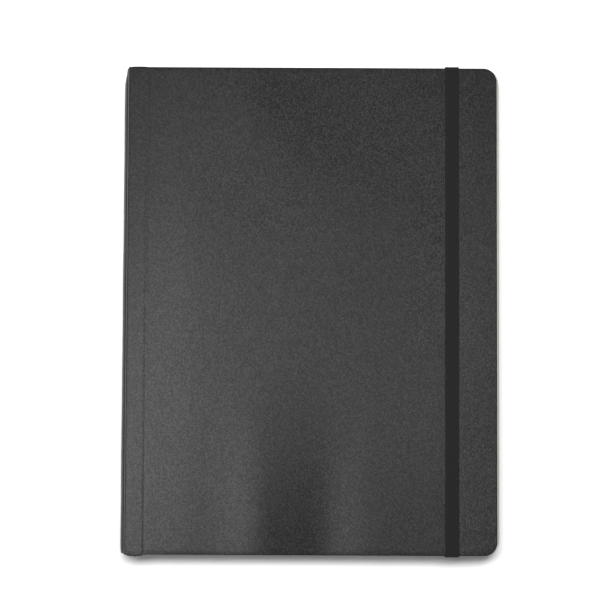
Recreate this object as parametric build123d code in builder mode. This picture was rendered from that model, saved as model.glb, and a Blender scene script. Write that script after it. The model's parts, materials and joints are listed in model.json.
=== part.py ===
from build123d import *
import os

# Soft-cover sketchbook with an elastic closure, shut, lying on its back cover.
#
# Frame: millimetres, +Z up, +Y towards the head of the book, +X from the spine to the
# fore edge. The origin is the middle of the closed book's footprint on the table.

os.makedirs("parts", exist_ok=True)

# ---------------------------------------------------------------- driving dimensions
COVER_HEIGHT = 250.0        # head to tail
COVER_WIDTH = 190.0         # spine fold to fore edge
BOOK_THICKNESS = 13.6       # outer face to outer face of the two covers
CORNER_RADIUS = 7.0         # both fore-edge corners of each cover

SKIN = 0.4                  # leatherette
BOARD = 0.6                 # flexible card under the leatherette
ENDPAPER = 0.2
TURN_IN = 8.0               # leatherette folded over onto the inside of the card
EDGE_ROUNDING = 0.35        # where the leatherette turns over the edge of the card

CREASE_FROM_FOLD = 10.3     # pressed hinge groove, measured from the spine fold
CREASE_GAP = 0.3            # cut between the hinge card and the cover card
CREASE_DEPTH = 0.3          # of the pressed groove, each flank

SPINE_BULGE = 2.2           # how far the rounded spine stands out past its folds
FOLD_RADIUS = 1.2           # outside bend of the leatherette at each spine fold
FOLD_TOP = 2.3              # height at which the covers' leatherette hands over to the spine
SPINE_START = 3.0           # height at which the spine's leatherette begins
SPINE_CARD = 0.5
SPINE_CARD_MARGIN = 0.9     # bare leatherette left beside the spine card

SIGNATURES = 6              # sewn sections
LEAVES_PER_SIGNATURE = 8    # four sheets folded once
CORE_LEAVES = 4             # the two innermost sheets lie pressed round the thread
LEAF_AIR = 0.02             # between neighbouring sheets
SIGNATURE_AIR = 0.04        # between neighbouring sections
FRONT_OVERHANG = 0.7        # fore edge of the front flyleaf, past the front cover
BACK_OVERHANG = 2.2         # fore edge of the back flyleaf, past the front cover
BACK_COVER_REACH = 1.0      # back cover past the front cover, as a shut soft book leans
BLOCK_INSET = 0.4           # page block inside the covers at head and tail
BLOCK_BACK = 1.1            # back of the outer sections, from the spine fold
BLOCK_ROUNDING = 0.8        # how far the middle sections stand towards the spine

THREAD_RADIUS = 0.2
STITCHES = 5
STITCH_LENGTH = 30.0
STITCH_PITCH = 44.0
LINING = 0.25               # open-weave cloth glued over the backs of the sections
LINING_LENGTH = 216.0
LINING_WRAP = 90.0          # degrees of each section's round back that the cloth covers

ELASTIC_WIDTH = 7.0
ELASTIC_THICKNESS = 0.62
ELASTIC_FROM_FORE_EDGE = 23.1
ELASTIC_CLEARANCE = 0.05    # between the band and the covers' head and tail edges
ELASTIC_LIFT = 0.02         # between the band and the front cover's face
ELASTIC_SLOT_FROM_EDGE = 13.0
ELASTIC_BEND = 0.5          # outside rounding where the band turns over head and tail

# ---------------------------------------------------------------- derived places
SPINE_X = -(COVER_WIDTH + BACK_OVERHANG - SPINE_BULGE) / 2
FORE_X = SPINE_X + COVER_WIDTH
BACK_FORE_X = FORE_X + BACK_COVER_REACH
CREASE_X = SPINE_X + CREASE_FROM_FOLD
HINGE_END_X = CREASE_X - CREASE_GAP / 2
COVER_START_X = CREASE_X + CREASE_GAP / 2
COVER_THICKNESS = SKIN + BOARD + ENDPAPER
FRONT_Z = BOOK_THICKNESS - COVER_THICKNESS
MIDDLE_Z = BOOK_THICKNESS / 2
FLYLEAF_Z = COVER_THICKNESS + LEAF_AIR
BLOCK_Z = FLYLEAF_Z + ENDPAPER + SIGNATURE_AIR
BLOCK_THICKNESS = BOOK_THICKNESS - 2 * BLOCK_Z
SIGNATURE_PITCH = (BLOCK_THICKNESS + SIGNATURE_AIR) / SIGNATURES
SIGNATURE_THICKNESS = SIGNATURE_PITCH - SIGNATURE_AIR
LEAF = SIGNATURE_THICKNESS / LEAVES_PER_SIGNATURE
PAGE_HEIGHT = COVER_HEIGHT - 2 * BLOCK_INSET
ELASTIC_X = FORE_X - ELASTIC_FROM_FORE_EDGE
BAND_INSIDE_Y = COVER_HEIGHT / 2 + ELASTIC_CLEARANCE
BAND_OUTSIDE_Y = BAND_INSIDE_Y + ELASTIC_THICKNESS
BAND_TOP = BOOK_THICKNESS + ELASTIC_LIFT + ELASTIC_THICKNESS
SLOT_Y = COVER_HEIGHT / 2 - ELASTIC_SLOT_FROM_EDGE


def keep(piece, name):
    """Label a finished sub-part and write it as its own STEP file."""
    piece.label = name
    export_step(piece, f"parts/{name}.step")


def fore_edge(height):
    """X of the page block's trimmed fore edge, which leans out towards the back cover."""
    front = BOOK_THICKNESS - FLYLEAF_Z
    share = (front - height) / (front - FLYLEAF_Z)
    return FORE_X + FRONT_OVERHANG + share * (BACK_OVERHANG - FRONT_OVERHANG)


def cover_outline(start_x, fore_x, inset, height):
    """Cover-shaped sketch: square at start_x, rounded at the fore edge, drawn in by inset."""
    end_x = fore_x - inset
    with BuildSketch(Plane.XY.offset(height)) as outline:
        with Locations(((start_x + end_x) / 2, 0)):
            Rectangle(end_x - start_x, COVER_HEIGHT - 2 * inset)
        if inset < CORNER_RADIUS:
            fillet(outline.vertices().group_by(Axis.X)[-1], CORNER_RADIUS - inset)
    return outline.sketch


def page_outline(start_x, end_x, height):
    """Page-shaped sketch with the rounded corners of the trimmed fore edge."""
    with BuildSketch(Plane.XY.offset(height)) as outline:
        with Locations(((start_x + end_x) / 2, 0)):
            Rectangle(end_x - start_x, PAGE_HEIGHT)
        fillet(outline.vertices().group_by(Axis.X)[-1], CORNER_RADIUS - BLOCK_INSET)
    return outline.sketch


def strip_outline(start_x, end_x, inset, height):
    """Plain strip between two X positions, as tall as the cover less the inset."""
    with BuildSketch(Plane.XY.offset(height)) as outline:
        with Locations(((start_x + end_x) / 2, 0)):
            Rectangle(end_x - start_x, COVER_HEIGHT - 2 * inset)
    return outline.sketch


def fold_profile():
    """Section of the leatherette where it bends up from the back cover to the spine."""
    inner_radius = FOLD_RADIUS - SKIN
    with BuildSketch(Plane.XZ) as profile:
        with BuildLine():
            outer = CenterArc((SPINE_X + FOLD_RADIUS, FOLD_RADIUS), FOLD_RADIUS, 180, 90)
            inner = CenterArc((SPINE_X + FOLD_RADIUS, FOLD_RADIUS), inner_radius, 180, 90)
            Polyline(outer @ 0, (SPINE_X, FOLD_TOP), (SPINE_X + SKIN, FOLD_TOP), inner @ 0)
            Line(outer @ 1, inner @ 1)
        make_face()
    return profile.sketch


def hinge_strip(end_x):
    """Leatherette of one hinge strip: the spine fold, the flat and its turned-in ends."""
    with BuildPart() as strip:
        extrude(strip_outline(SPINE_X + FOLD_RADIUS, end_x, 0, 0), amount=COVER_THICKNESS)
        extrude(
            strip_outline(SPINE_X, end_x, SKIN, SKIN), amount=BOARD, mode=Mode.SUBTRACT
        )
        extrude(
            strip_outline(SPINE_X, end_x, TURN_IN, SKIN + BOARD),
            amount=ENDPAPER,
            mode=Mode.SUBTRACT,
        )
        extrude(fold_profile(), amount=COVER_HEIGHT / 2, both=True)
    return strip.part


def hinge_card(end_x):
    """Narrow card under a hinge strip, between the spine fold and the crease."""
    with BuildPart() as card:
        extrude(strip_outline(SPINE_X + FOLD_RADIUS, end_x, SKIN, SKIN), amount=BOARD)
    return card.part


def endpaper(pasted_end_x, fore_x):
    """Folded endpaper: the pasted side, the fold at the spine and the free flyleaf."""
    fold_x = SPINE_X + BLOCK_BACK
    with BuildPart() as sheet:
        extrude(
            strip_outline(SPINE_X + FOLD_RADIUS, pasted_end_x, TURN_IN, SKIN + BOARD),
            amount=ENDPAPER,
        )
        extrude(
            strip_outline(fold_x, SPINE_X + FOLD_RADIUS, TURN_IN, SKIN + BOARD),
            amount=2 * ENDPAPER + LEAF_AIR,
        )
        extrude(page_outline(fold_x, fore_x, FLYLEAF_Z), amount=ENDPAPER)
    return sheet.part


def facing_up(piece):
    """The same sub-part seen from the front cover: mirrored through the book's middle."""
    with BuildPart() as mirrored:
        add(piece)
        mirror(about=Plane.XY.offset(MIDDLE_Z), mode=Mode.REPLACE)
    return mirrored.part


def spine_layer(inside_face, outside_face):
    """Full-length layer of the rounded spine, between two distances from its outer face."""
    with BuildPart() as layer:
        with BuildSketch(Plane.XZ):
            with BuildLine():
                outer = spine_arc(outside_face)
                inner = spine_arc(inside_face)
                Line(outer @ 0, inner @ 0)
                Line(outer @ 1, inner @ 1)
            make_face()
        extrude(amount=COVER_HEIGHT / 2 - outside_face, both=True)
    return layer.part


def spine_arc(depth):
    """Arc across the spine, at a distance inwards from its outer face."""
    return ThreePointArc(
        (SPINE_X + depth, SPINE_START),
        (SPINE_X - SPINE_BULGE + depth, MIDDLE_Z),
        (SPINE_X + depth, BOOK_THICKNESS - SPINE_START),
    )


# ---------------------------------------------------------------- front cover
with BuildPart() as front_cover_skin:
    extrude(cover_outline(COVER_START_X, FORE_X, 0, FRONT_Z), amount=COVER_THICKNESS)
    outer_rim = front_cover_skin.faces().sort_by(Axis.Z)[-1].edges().sort_by(Axis.X)
    fillet(outer_rim[1:], EDGE_ROUNDING)
    crease_edge = front_cover_skin.faces().sort_by(Axis.Z)[-1].edges().sort_by(Axis.X)[0]
    chamfer(crease_edge, CREASE_DEPTH)
    extrude(
        cover_outline(SPINE_X, FORE_X, SKIN, FRONT_Z + ENDPAPER),
        amount=BOARD,
        mode=Mode.SUBTRACT,
    )
    extrude(
        cover_outline(SPINE_X, FORE_X, TURN_IN, FRONT_Z), amount=ENDPAPER, mode=Mode.SUBTRACT
    )
keep(front_cover_skin.part, "front_cover_skin")

with BuildPart() as front_board:
    extrude(cover_outline(COVER_START_X, FORE_X, SKIN, FRONT_Z + ENDPAPER), amount=BOARD)
keep(front_board.part, "front_board")

with BuildPart() as front_pastedown:
    extrude(cover_outline(COVER_START_X, FORE_X, TURN_IN, FRONT_Z), amount=ENDPAPER)
keep(front_pastedown.part, "front_pastedown")

# ---------------------------------------------------------------- front hinge strip
upper_strip = facing_up(hinge_strip(HINGE_END_X))
with BuildPart() as front_hinge_skin:
    add(upper_strip)
    crease_edge = front_hinge_skin.faces().sort_by(Axis.Z)[-1].edges().sort_by(Axis.X)[-1]
    chamfer(crease_edge, CREASE_DEPTH)
keep(front_hinge_skin.part, "front_hinge_skin")

keep(facing_up(hinge_card(HINGE_END_X)), "front_hinge_card")
front_flyleaf_edge = fore_edge(BOOK_THICKNESS - FLYLEAF_Z)
keep(facing_up(endpaper(HINGE_END_X, front_flyleaf_edge)), "front_flyleaf")

# ---------------------------------------------------------------- spine
keep(spine_layer(SKIN, 0), "spine_skin")

full_card = spine_layer(SKIN + SPINE_CARD, SKIN)
card_foot = SPINE_START + SPINE_CARD_MARGIN
with BuildPart() as spine_card:
    add(full_card)
    split(bisect_by=Plane.XY.offset(card_foot), keep=Keep.TOP)
    split(bisect_by=Plane.XY.offset(BOOK_THICKNESS - card_foot), keep=Keep.BOTTOM)
keep(spine_card.part, "spine_card")

# ---------------------------------------------------------------- sewn page block
for number in range(1, SIGNATURES + 1):
    from_middle = (number - (SIGNATURES + 1) / 2) / (SIGNATURES / 2)
    back_x = SPINE_X + BLOCK_BACK - BLOCK_ROUNDING * (1 - from_middle**2)
    fold_x = back_x + SIGNATURE_THICKNESS / 2
    fold_z = BOOK_THICKNESS - BLOCK_Z - (number - 0.5) * SIGNATURE_PITCH + SIGNATURE_AIR / 2
    fore_x = fore_edge(fold_z)

    with BuildPart() as signature:
        for inner_leaves in range(CORE_LEAVES // 2, LEAVES_PER_SIGNATURE // 2):
            with BuildSketch(Plane.XZ):
                with Locations((fold_x, fold_z)):
                    Circle((inner_leaves + 1) * LEAF)
                with Locations(((fold_x + fore_x) / 2, fold_z)):
                    Rectangle(fore_x - fold_x, 2 * (inner_leaves + 1) * LEAF)
                with Locations((fold_x, fold_z)):
                    Circle(inner_leaves * LEAF + LEAF_AIR, mode=Mode.SUBTRACT)
                with Locations(((fold_x + fore_x) / 2, fold_z)):
                    Rectangle(
                        fore_x - fold_x,
                        2 * (inner_leaves * LEAF + LEAF_AIR),
                        mode=Mode.SUBTRACT,
                    )
            extrude(amount=PAGE_HEIGHT / 2, both=True)
        with BuildSketch(Plane.XZ):
            with Locations((fold_x, fold_z)):
                Circle(CORE_LEAVES / 2 * LEAF)
            with Locations(((fold_x + fore_x) / 2, fold_z)):
                Rectangle(fore_x - fold_x, CORE_LEAVES * LEAF)
                Rectangle(fore_x - fold_x, LEAF_AIR, mode=Mode.SUBTRACT)
            with Locations((fold_x, fold_z)):
                Circle(THREAD_RADIUS, mode=Mode.SUBTRACT)
        extrude(amount=PAGE_HEIGHT / 2, both=True)
        extrude(
            page_outline(back_x - LEAF, fore_x, fold_z - SIGNATURE_THICKNESS),
            amount=2 * SIGNATURE_THICKNESS,
            mode=Mode.INTERSECT,
        )
    keep(signature.part, f"signature_{number}")

    with BuildPart() as sewing_thread:
        with Locations((fold_x, 0, fold_z)):
            with GridLocations(0, STITCH_PITCH, 1, STITCHES):
                Cylinder(THREAD_RADIUS, STITCH_LENGTH, rotation=(90, 0, 0))
    keep(sewing_thread.part, f"sewing_thread_{number}")

    with BuildPart() as spine_lining:
        with BuildSketch(Plane.XZ):
            with BuildLine():
                start = 180 - LINING_WRAP / 2
                glued = CenterArc(
                    (fold_x, fold_z), SIGNATURE_THICKNESS / 2, start, LINING_WRAP
                )
                outer = CenterArc(
                    (fold_x, fold_z), SIGNATURE_THICKNESS / 2 + LINING, start, LINING_WRAP
                )
                Line(glued @ 0, outer @ 0)
                Line(glued @ 1, outer @ 1)
            make_face()
        extrude(amount=LINING_LENGTH / 2, both=True)
    keep(spine_lining.part, f"spine_lining_{number}")

# ---------------------------------------------------------------- back cover
with BuildPart() as elastic_seats:
    for side in (-1, 1):
        seat_length = BAND_OUTSIDE_Y - SLOT_Y
        with BuildSketch(Plane.XY):
            with Locations((ELASTIC_X, side * (SLOT_Y + seat_length / 2))):
                Rectangle(ELASTIC_WIDTH, seat_length)
        extrude(amount=ELASTIC_THICKNESS)
        with BuildSketch(Plane.XY):
            with Locations((ELASTIC_X, side * (SLOT_Y + ELASTIC_THICKNESS / 2))):
                Rectangle(ELASTIC_WIDTH, ELASTIC_THICKNESS)
        extrude(amount=SKIN + BOARD)

with BuildPart() as back_cover_skin:
    extrude(cover_outline(SPINE_X + FOLD_RADIUS, BACK_FORE_X, 0, 0), amount=COVER_THICKNESS)
    outer_rim = back_cover_skin.faces().sort_by(Axis.Z)[0].edges().sort_by(Axis.X)
    fillet(outer_rim[1:], EDGE_ROUNDING)
    extrude(
        cover_outline(SPINE_X, BACK_FORE_X, SKIN, SKIN), amount=BOARD, mode=Mode.SUBTRACT
    )
    extrude(
        cover_outline(SPINE_X, BACK_FORE_X, TURN_IN, SKIN + BOARD),
        amount=ENDPAPER,
        mode=Mode.SUBTRACT,
    )
    extrude(fold_profile(), amount=COVER_HEIGHT / 2, both=True)
    with BuildSketch(Plane.XZ):
        with BuildLine():
            Polyline(
                (CREASE_X - CREASE_DEPTH, 0),
                (CREASE_X, CREASE_DEPTH),
                (CREASE_X + CREASE_DEPTH, 0),
                close=True,
            )
        make_face()
    extrude(amount=COVER_HEIGHT / 2, both=True, mode=Mode.SUBTRACT)
    add(elastic_seats.part, mode=Mode.SUBTRACT)
keep(back_cover_skin.part, "back_cover_skin")

keep(hinge_card(HINGE_END_X), "back_hinge_card")

with BuildPart() as back_board:
    extrude(cover_outline(COVER_START_X, BACK_FORE_X, SKIN, SKIN), amount=BOARD)
    add(elastic_seats.part, mode=Mode.SUBTRACT)
keep(back_board.part, "back_board")

keep(endpaper(BACK_FORE_X - TURN_IN, fore_edge(FLYLEAF_Z)), "back_endpaper")

# ---------------------------------------------------------------- elastic closure
elastic_ends = elastic_seats.part.solids().sort_by(Axis.Y)
for elastic_end, name in zip(elastic_ends, ("elastic_end_tail", "elastic_end_head")):
    with BuildPart() as strap_end:
        add(elastic_end)
    keep(strap_end.part, name)

with BuildPart() as elastic_band:
    with BuildSketch(Plane.YZ.offset(ELASTIC_X)) as loop:
        band_foot = ELASTIC_THICKNESS + ELASTIC_CLEARANCE
        with Locations((0, (band_foot + BAND_TOP) / 2)):
            Rectangle(2 * BAND_OUTSIDE_Y, BAND_TOP - band_foot)
        fillet(loop.vertices().group_by(Axis.Z)[-1], ELASTIC_BEND)
        inside_top = BAND_TOP - ELASTIC_THICKNESS
        with Locations((0, (band_foot + inside_top) / 2)):
            Rectangle(2 * BAND_INSIDE_Y, inside_top - band_foot, mode=Mode.SUBTRACT)
    extrude(amount=ELASTIC_WIDTH / 2, both=True)
keep(elastic_band.part, "elastic_band")
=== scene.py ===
"""Soft-cover sketchbook with an elastic closure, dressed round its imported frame.

Everything is in metres in the frame's own axes: +Z up through the shut book, +Y towards
its head, +X from the spine to the fore edge. Places across the book come from the frame.
"""

import json
import logging
import math
from dataclasses import dataclass, field
from enum import Enum
from typing import Callable, Optional, Union

import bmesh
import bpy
import numpy as np
from mathutils import Matrix, Vector

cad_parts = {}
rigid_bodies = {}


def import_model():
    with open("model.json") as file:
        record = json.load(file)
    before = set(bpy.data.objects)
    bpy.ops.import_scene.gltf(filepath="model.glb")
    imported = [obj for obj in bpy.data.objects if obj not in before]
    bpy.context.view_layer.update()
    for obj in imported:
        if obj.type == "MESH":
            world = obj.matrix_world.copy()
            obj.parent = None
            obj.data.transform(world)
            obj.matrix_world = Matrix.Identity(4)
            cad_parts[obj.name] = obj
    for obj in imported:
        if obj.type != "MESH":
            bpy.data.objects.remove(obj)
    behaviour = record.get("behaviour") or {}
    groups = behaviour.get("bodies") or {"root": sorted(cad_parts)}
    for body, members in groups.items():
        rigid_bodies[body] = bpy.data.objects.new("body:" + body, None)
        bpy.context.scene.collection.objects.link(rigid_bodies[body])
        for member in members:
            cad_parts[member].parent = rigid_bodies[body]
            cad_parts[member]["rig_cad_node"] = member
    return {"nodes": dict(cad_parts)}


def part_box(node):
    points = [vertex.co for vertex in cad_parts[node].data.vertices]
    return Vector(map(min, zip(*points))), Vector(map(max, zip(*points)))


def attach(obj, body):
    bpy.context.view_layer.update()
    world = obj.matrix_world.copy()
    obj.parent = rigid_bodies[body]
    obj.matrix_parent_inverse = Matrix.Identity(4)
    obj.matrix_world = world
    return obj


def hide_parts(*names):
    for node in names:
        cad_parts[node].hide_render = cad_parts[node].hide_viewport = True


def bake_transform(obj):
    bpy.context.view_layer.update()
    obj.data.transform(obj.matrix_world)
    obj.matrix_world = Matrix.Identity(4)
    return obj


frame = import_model()

LOG = logging.getLogger("sketchbook")
MM = 0.001
TINY = 1e-6
PAGE_CORNER = 6.6 * MM
UNROLLED = "unrolled"
MM_TO_THE_METRE = 1000.0
# The unrolled skin: a point that lies below or above the middle of the thickness is moved
# out by that height across the book, and by this share of it along the book.
SLIDE_ALONG = 0.7
SPINE_TO_MIDDLE = (95.0 - 6.8) * MM
TAIL_TO_MIDDLE = (125.0 - SLIDE_ALONG * 6.8) * MM
# Buckle near the tail of the front cover, as distance from the spine fold and width in mm.
RIDGE = (66.0, 15.0)
VALLEY = (103.0, 14.0)
TAIL_REACH = 52.0

Rgb = tuple[float, float, float]
Scalar = Union[float, "Value"]
Places = Union[float, np.ndarray]


# ---------------------------------------------------------------- node trees
class Value:
    """One output of a node, with arithmetic that adds Math nodes to its tree."""

    def __init__(self, tree: "Tree", socket: bpy.types.NodeSocket) -> None:
        """Keep the tree and the socket.

        Args:
            tree: the tree that the socket belongs to.
            socket: the output socket.
        """
        self.tree = tree
        self.socket = socket

    def __add__(self, other: Scalar) -> "Value":
        """Sum."""
        return self.tree.math("ADD", self, other)

    __radd__ = __add__

    def __sub__(self, other: Scalar) -> "Value":
        """Difference."""
        return self.tree.math("SUBTRACT", self, other)

    def __rsub__(self, other: Scalar) -> "Value":
        """Difference, with the number on the left."""
        return self.tree.math("SUBTRACT", other, self)

    def __mul__(self, other: Scalar) -> "Value":
        """Product."""
        return self.tree.math("MULTIPLY", self, other)

    __rmul__ = __mul__

    def __truediv__(self, other: Scalar) -> "Value":
        """Quotient."""
        return self.tree.math("DIVIDE", self, other)

    def __pow__(self, other: Scalar) -> "Value":
        """Power."""
        return self.tree.math("POWER", self, other)

    def __abs__(self) -> "Value":
        """Size without the sign."""
        return self.tree.math("ABSOLUTE", self)

    def sign(self) -> "Value":
        """Minus one, nought or one."""
        return self.tree.math("SIGN", self)

    def sine(self) -> "Value":
        """Sine of an angle in radians."""
        return self.tree.math("SINE", self)

    def cosine(self) -> "Value":
        """Cosine of an angle in radians."""
        return self.tree.math("COSINE", self)

    def exponential(self) -> "Value":
        """e to the value's power."""
        return self.tree.math("EXPONENT", self)

    def bell(self, centre: float, width: float) -> "Value":
        """Bell curve of height 1 about centre."""
        away = (self - centre) / width
        return (0.0 - away * away).exponential()

    def smooth(self, low: float, high: float) -> "Value":
        """Smooth rise from 0 at low to 1 at high."""
        sockets = {0: self, 1: low, 2: high, 3: 0.0, 4: 1.0}
        return self.tree.node("ShaderNodeMapRange", {"interpolation_type": "SMOOTHSTEP"}, sockets)

    def clamped(
        self, low: float, high: float, to_low: float = 0.0, to_high: float = 1.0
    ) -> "Value":
        """The value's place between low and high, held to the range to_low to to_high.

        Args:
            low: value that gives to_low.
            high: value that gives to_high.
            to_low: lowest result.
            to_high: highest result.

        Returns:
            The remapped value.
        """
        sockets = {0: self, 1: low, 2: high, 3: to_low, 4: to_high}
        return self.tree.node("ShaderNodeMapRange", {"clamp": True}, sockets)


class Tree:
    """A shader or geometry node tree that is written as Python expressions."""

    def __init__(self, tree: bpy.types.NodeTree) -> None:
        """Wrap an empty node tree."""
        self.tree = tree

    def node(
        self,
        kind: str,
        settings: Optional[dict] = None,
        sockets: Optional[dict] = None,
        output: Union[int, str] = 0,
    ) -> Value:
        """Add one node: its settings first, then its values and links.

        Args:
            kind: the node's type.
            settings: attributes of the node.
            sockets: input name or number, to a number, colour, vector or Value.
            output: name or number of the output that is returned.

        Returns:
            The chosen output.
        """
        made = self.tree.nodes.new(kind)
        for name, setting in (settings or {}).items():
            setattr(made, name, setting)
        for name, value in (sockets or {}).items():
            if isinstance(value, Value):
                self.tree.links.new(value.socket, made.inputs[name])
            else:
                made.inputs[name].default_value = value
        return Value(self, made.outputs[output]) if made.outputs else None

    def math(self, operation: str, *terms: Scalar) -> Value:
        """Add a Math node."""
        return self.node("ShaderNodeMath", {"operation": operation}, dict(enumerate(terms)))

    def vector(self, operation: str, *terms: object) -> Value:
        """Add a Vector Math node."""
        return self.node("ShaderNodeVectorMath", {"operation": operation}, dict(enumerate(terms)))

    def mix(self, first: object, second: object, factor: Scalar) -> Value:
        """Blend two colours.

        Args:
            first: colour at factor 0.
            second: colour at factor 1.
            factor: share of the second colour.

        Returns:
            The blended colour.
        """
        colours = [(*c, 1.0) if isinstance(c, tuple) else c for c in (first, second)]
        sockets = {0: factor, 6: colours[0], 7: colours[1]}
        return self.node("ShaderNodeMix", {"data_type": "RGBA"}, sockets, output=2)

    def noise(
        self, place: Value, scale: float, detail: float = 2.0, rough: float = 0.5,
        dimensions: str = "3D", output: str = "Fac",
    ) -> Value:
        """Add a noise texture.

        Args:
            place: where it is looked up.
            scale: its lumps to the metre.
            detail: how many finer layers it has.
            rough: how strong the finer layers are.
            dimensions: "3D", or "2D" on a flat place.
            output: "Fac" for a value from 0 to 1, or "Color".

        Returns:
            The noise.
        """
        sockets = {"Vector": place, "Scale": scale, "Detail": detail, "Roughness": rough}
        return self.node("ShaderNodeTexNoise", {"noise_dimensions": dimensions}, sockets, output)

    def split(self, vector: Value) -> list[Value]:
        """The three components of a vector."""
        made = self.node("ShaderNodeSeparateXYZ", {}, {0: vector}).socket.node
        return [Value(self, output) for output in made.outputs]


# ---------------------------------------------------------------- finishes
@dataclass(frozen=True)
class Finish:
    """What all the finishes share: a name, a colour and how rough the surface is."""

    name: str
    colour: Rgb
    roughness: float
    slot: str

    def material(self) -> bpy.types.Material:
        """The finish's material, made once and then reused.

        Returns:
            The material.
        """
        found = bpy.data.materials.get(self.name)
        if found:
            return found
        made = bpy.data.materials.new(self.name)
        made.use_nodes = True
        made.node_tree.nodes.clear()
        tree = Tree(made.node_tree)
        place = tree.node("ShaderNodeTexCoord", output="Object")
        surface = self.surface(tree, place)
        tree.node("ShaderNodeOutputMaterial", {}, {"Surface": surface})
        return made

    def surface(self, tree: Tree, place: Value) -> Value:
        """The shader of the surface.

        Args:
            tree: the material's nodes.
            place: the position on the object, in metres.

        Returns:
            The shader's output.
        """
        raise NotImplementedError

    def principled(
        self, tree: Tree, colour: Value, roughness: Scalar, height: Value, depth: float,
        swell: Optional[Value] = None, **fixed: float,
    ) -> Value:
        """A principled shader with a bump, and perhaps a slow swell under it.

        Args:
            tree: the material's nodes.
            colour: base colour.
            roughness: roughness over the surface.
            height: bump height, from 0 to 1.
            depth: what a height of 1 stands for, in metres.
            swell: height of the slow swell, in metres.
            fixed: sockets that are the same all over, by name with _ for a space.

        Returns:
            The shader's output.
        """
        bump = {"Strength": 1.0, "Distance": depth, "Height": height}
        if swell is not None:
            slow = {"Strength": 1.0, "Distance": 1.0, "Height": swell}
            bump["Normal"] = tree.node("ShaderNodeBump", {}, slow)
        normal = tree.node("ShaderNodeBump", {}, bump)
        sockets = {"Base Color": colour, "Roughness": roughness, "Normal": normal}
        sockets.update({name.replace("_", " "): value for name, value in fixed.items()})
        return tree.node("ShaderNodeBsdfPrincipled", {}, sockets)


@dataclass(frozen=True)
class Leatherette(Finish):
    """Coated cloth with a fine pebbled grain."""

    grain: float = 0.5 * MM
    grain_depth: float = 0.036 * MM
    pale: Rgb = (0.034, 0.0352, 0.0378)
    sheen: float = 0.4
    slant: float = 0.7
    stretch: float = 0.7
    # Centre and width in mm, across from the spine fold, of a band of painted shade: darker colour
    # and higher roughness in the valley beside the fold.
    fold: tuple[float, float] = (-2.9, 1.3)

    def _flat_noise(self, tree: Tree, place: Value, scale: float, output: str = "Fac") -> Value:
        """Noise on the unrolled skin, its scale given to one pebble of the grain."""
        return tree.noise(place, scale / self.grain, 1.0, 0.5, "2D", output)

    def swells(self, x: Value, y: Value) -> Value:
        """Height of the soft cover's slow swells, in metres.

        Args:
            x: unrolled distance from the spine fold, in millimetres.
            y: distance from the tail, in millimetres.

        Returns:
            The height.
        """
        rise = (1.0 - (x * -0.31).exponential()) * 0.4 + x.smooth(-20.0, 36.0) * 3.6
        crown = rise - x.smooth(30.0, 150.0) * 2.0 + x.smooth(150.0, 205.0) * 0.6
        buckle = (x.bell(*RIDGE) * 1.7 - x.bell(*VALLEY) * 1.3) * y.bell(0.0, TAIL_REACH)
        head = x.bell(62.0, 13.0) * y.bell(250.0, 36.0) * 0.5
        ripples = (x / 15.0 + 0.6).sine() * (y / 24.0).cosine() * 0.1
        ripples = ripples + ((x * 0.7 + y) / 13.0).sine() * 0.05
        return (crown + buckle + head + ripples * x.smooth(10.0, 30.0)) * MM

    def surface(self, tree: Tree, place: Value) -> Value:
        """Pebbles with creases between them, paler and shinier on their tops, with painted shade in
        the valley beside the spine fold.

        Args:
            tree: the material's nodes.
            place: the position on the object, in metres; not used.

        Returns:
            The shader's output.
        """
        unrolled = tree.node("ShaderNodeUVMap", {"uv_map": UNROLLED})
        drift = self._flat_noise(tree, unrolled, 0.6, "Color")
        by = {0: drift, "Scale": 0.6 * self.grain}
        moved = tree.node("ShaderNodeVectorMath", {"operation": "SCALE"}, by)
        stretched = tree.node("ShaderNodeMapping", {}, {
            "Vector": tree.vector("ADD", unrolled, moved),
            "Rotation": (0.0, 0.0, self.slant),
            "Scale": (1.0, self.stretch, 1.0),
        })
        cells = {"Vector": stretched, "Scale": 1.0 / self.grain}
        found = tree.node("ShaderNodeTexVoronoi", {"voronoi_dimensions": "2D"}, cells).socket.node
        pebbles = 1.0 - Value(tree, found.outputs["Distance"]).clamped(0.05, 0.75)
        own = tree.split(Value(tree, found.outputs["Color"]))[0]
        pores = self._flat_noise(tree, unrolled, 2.6)
        clumps = self._flat_noise(tree, unrolled, 0.3)
        tops = pebbles * (0.45 + own * 0.5) + pores * 0.15 + clumps * 0.12
        shade = own * 0.55 + pebbles * 0.41 + clumps.clamped(0.3, 0.7) * 0.04
        x, y, _ = tree.split(unrolled)
        x = (x + SPINE_TO_MIDDLE) * MM_TO_THE_METRE
        # Painted shade: the colour is darkened, and the roughness raised, in a band along the
        # valley beside the spine fold.
        fold = x.bell(*self.fold)
        colour = tree.mix(self.colour, self.pale, (shade ** 2.2) * (1.0 - fold * 0.95))
        roughness = self.roughness + (0.5 - shade) * 0.16 + fold * 0.5
        swell = self.swells(x, (y + TAIL_TO_MIDDLE) * MM_TO_THE_METRE)
        return self.principled(
            tree, colour, roughness, tops, self.grain_depth, swell, Specular_IOR_Level=self.sheen
        )


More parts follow.
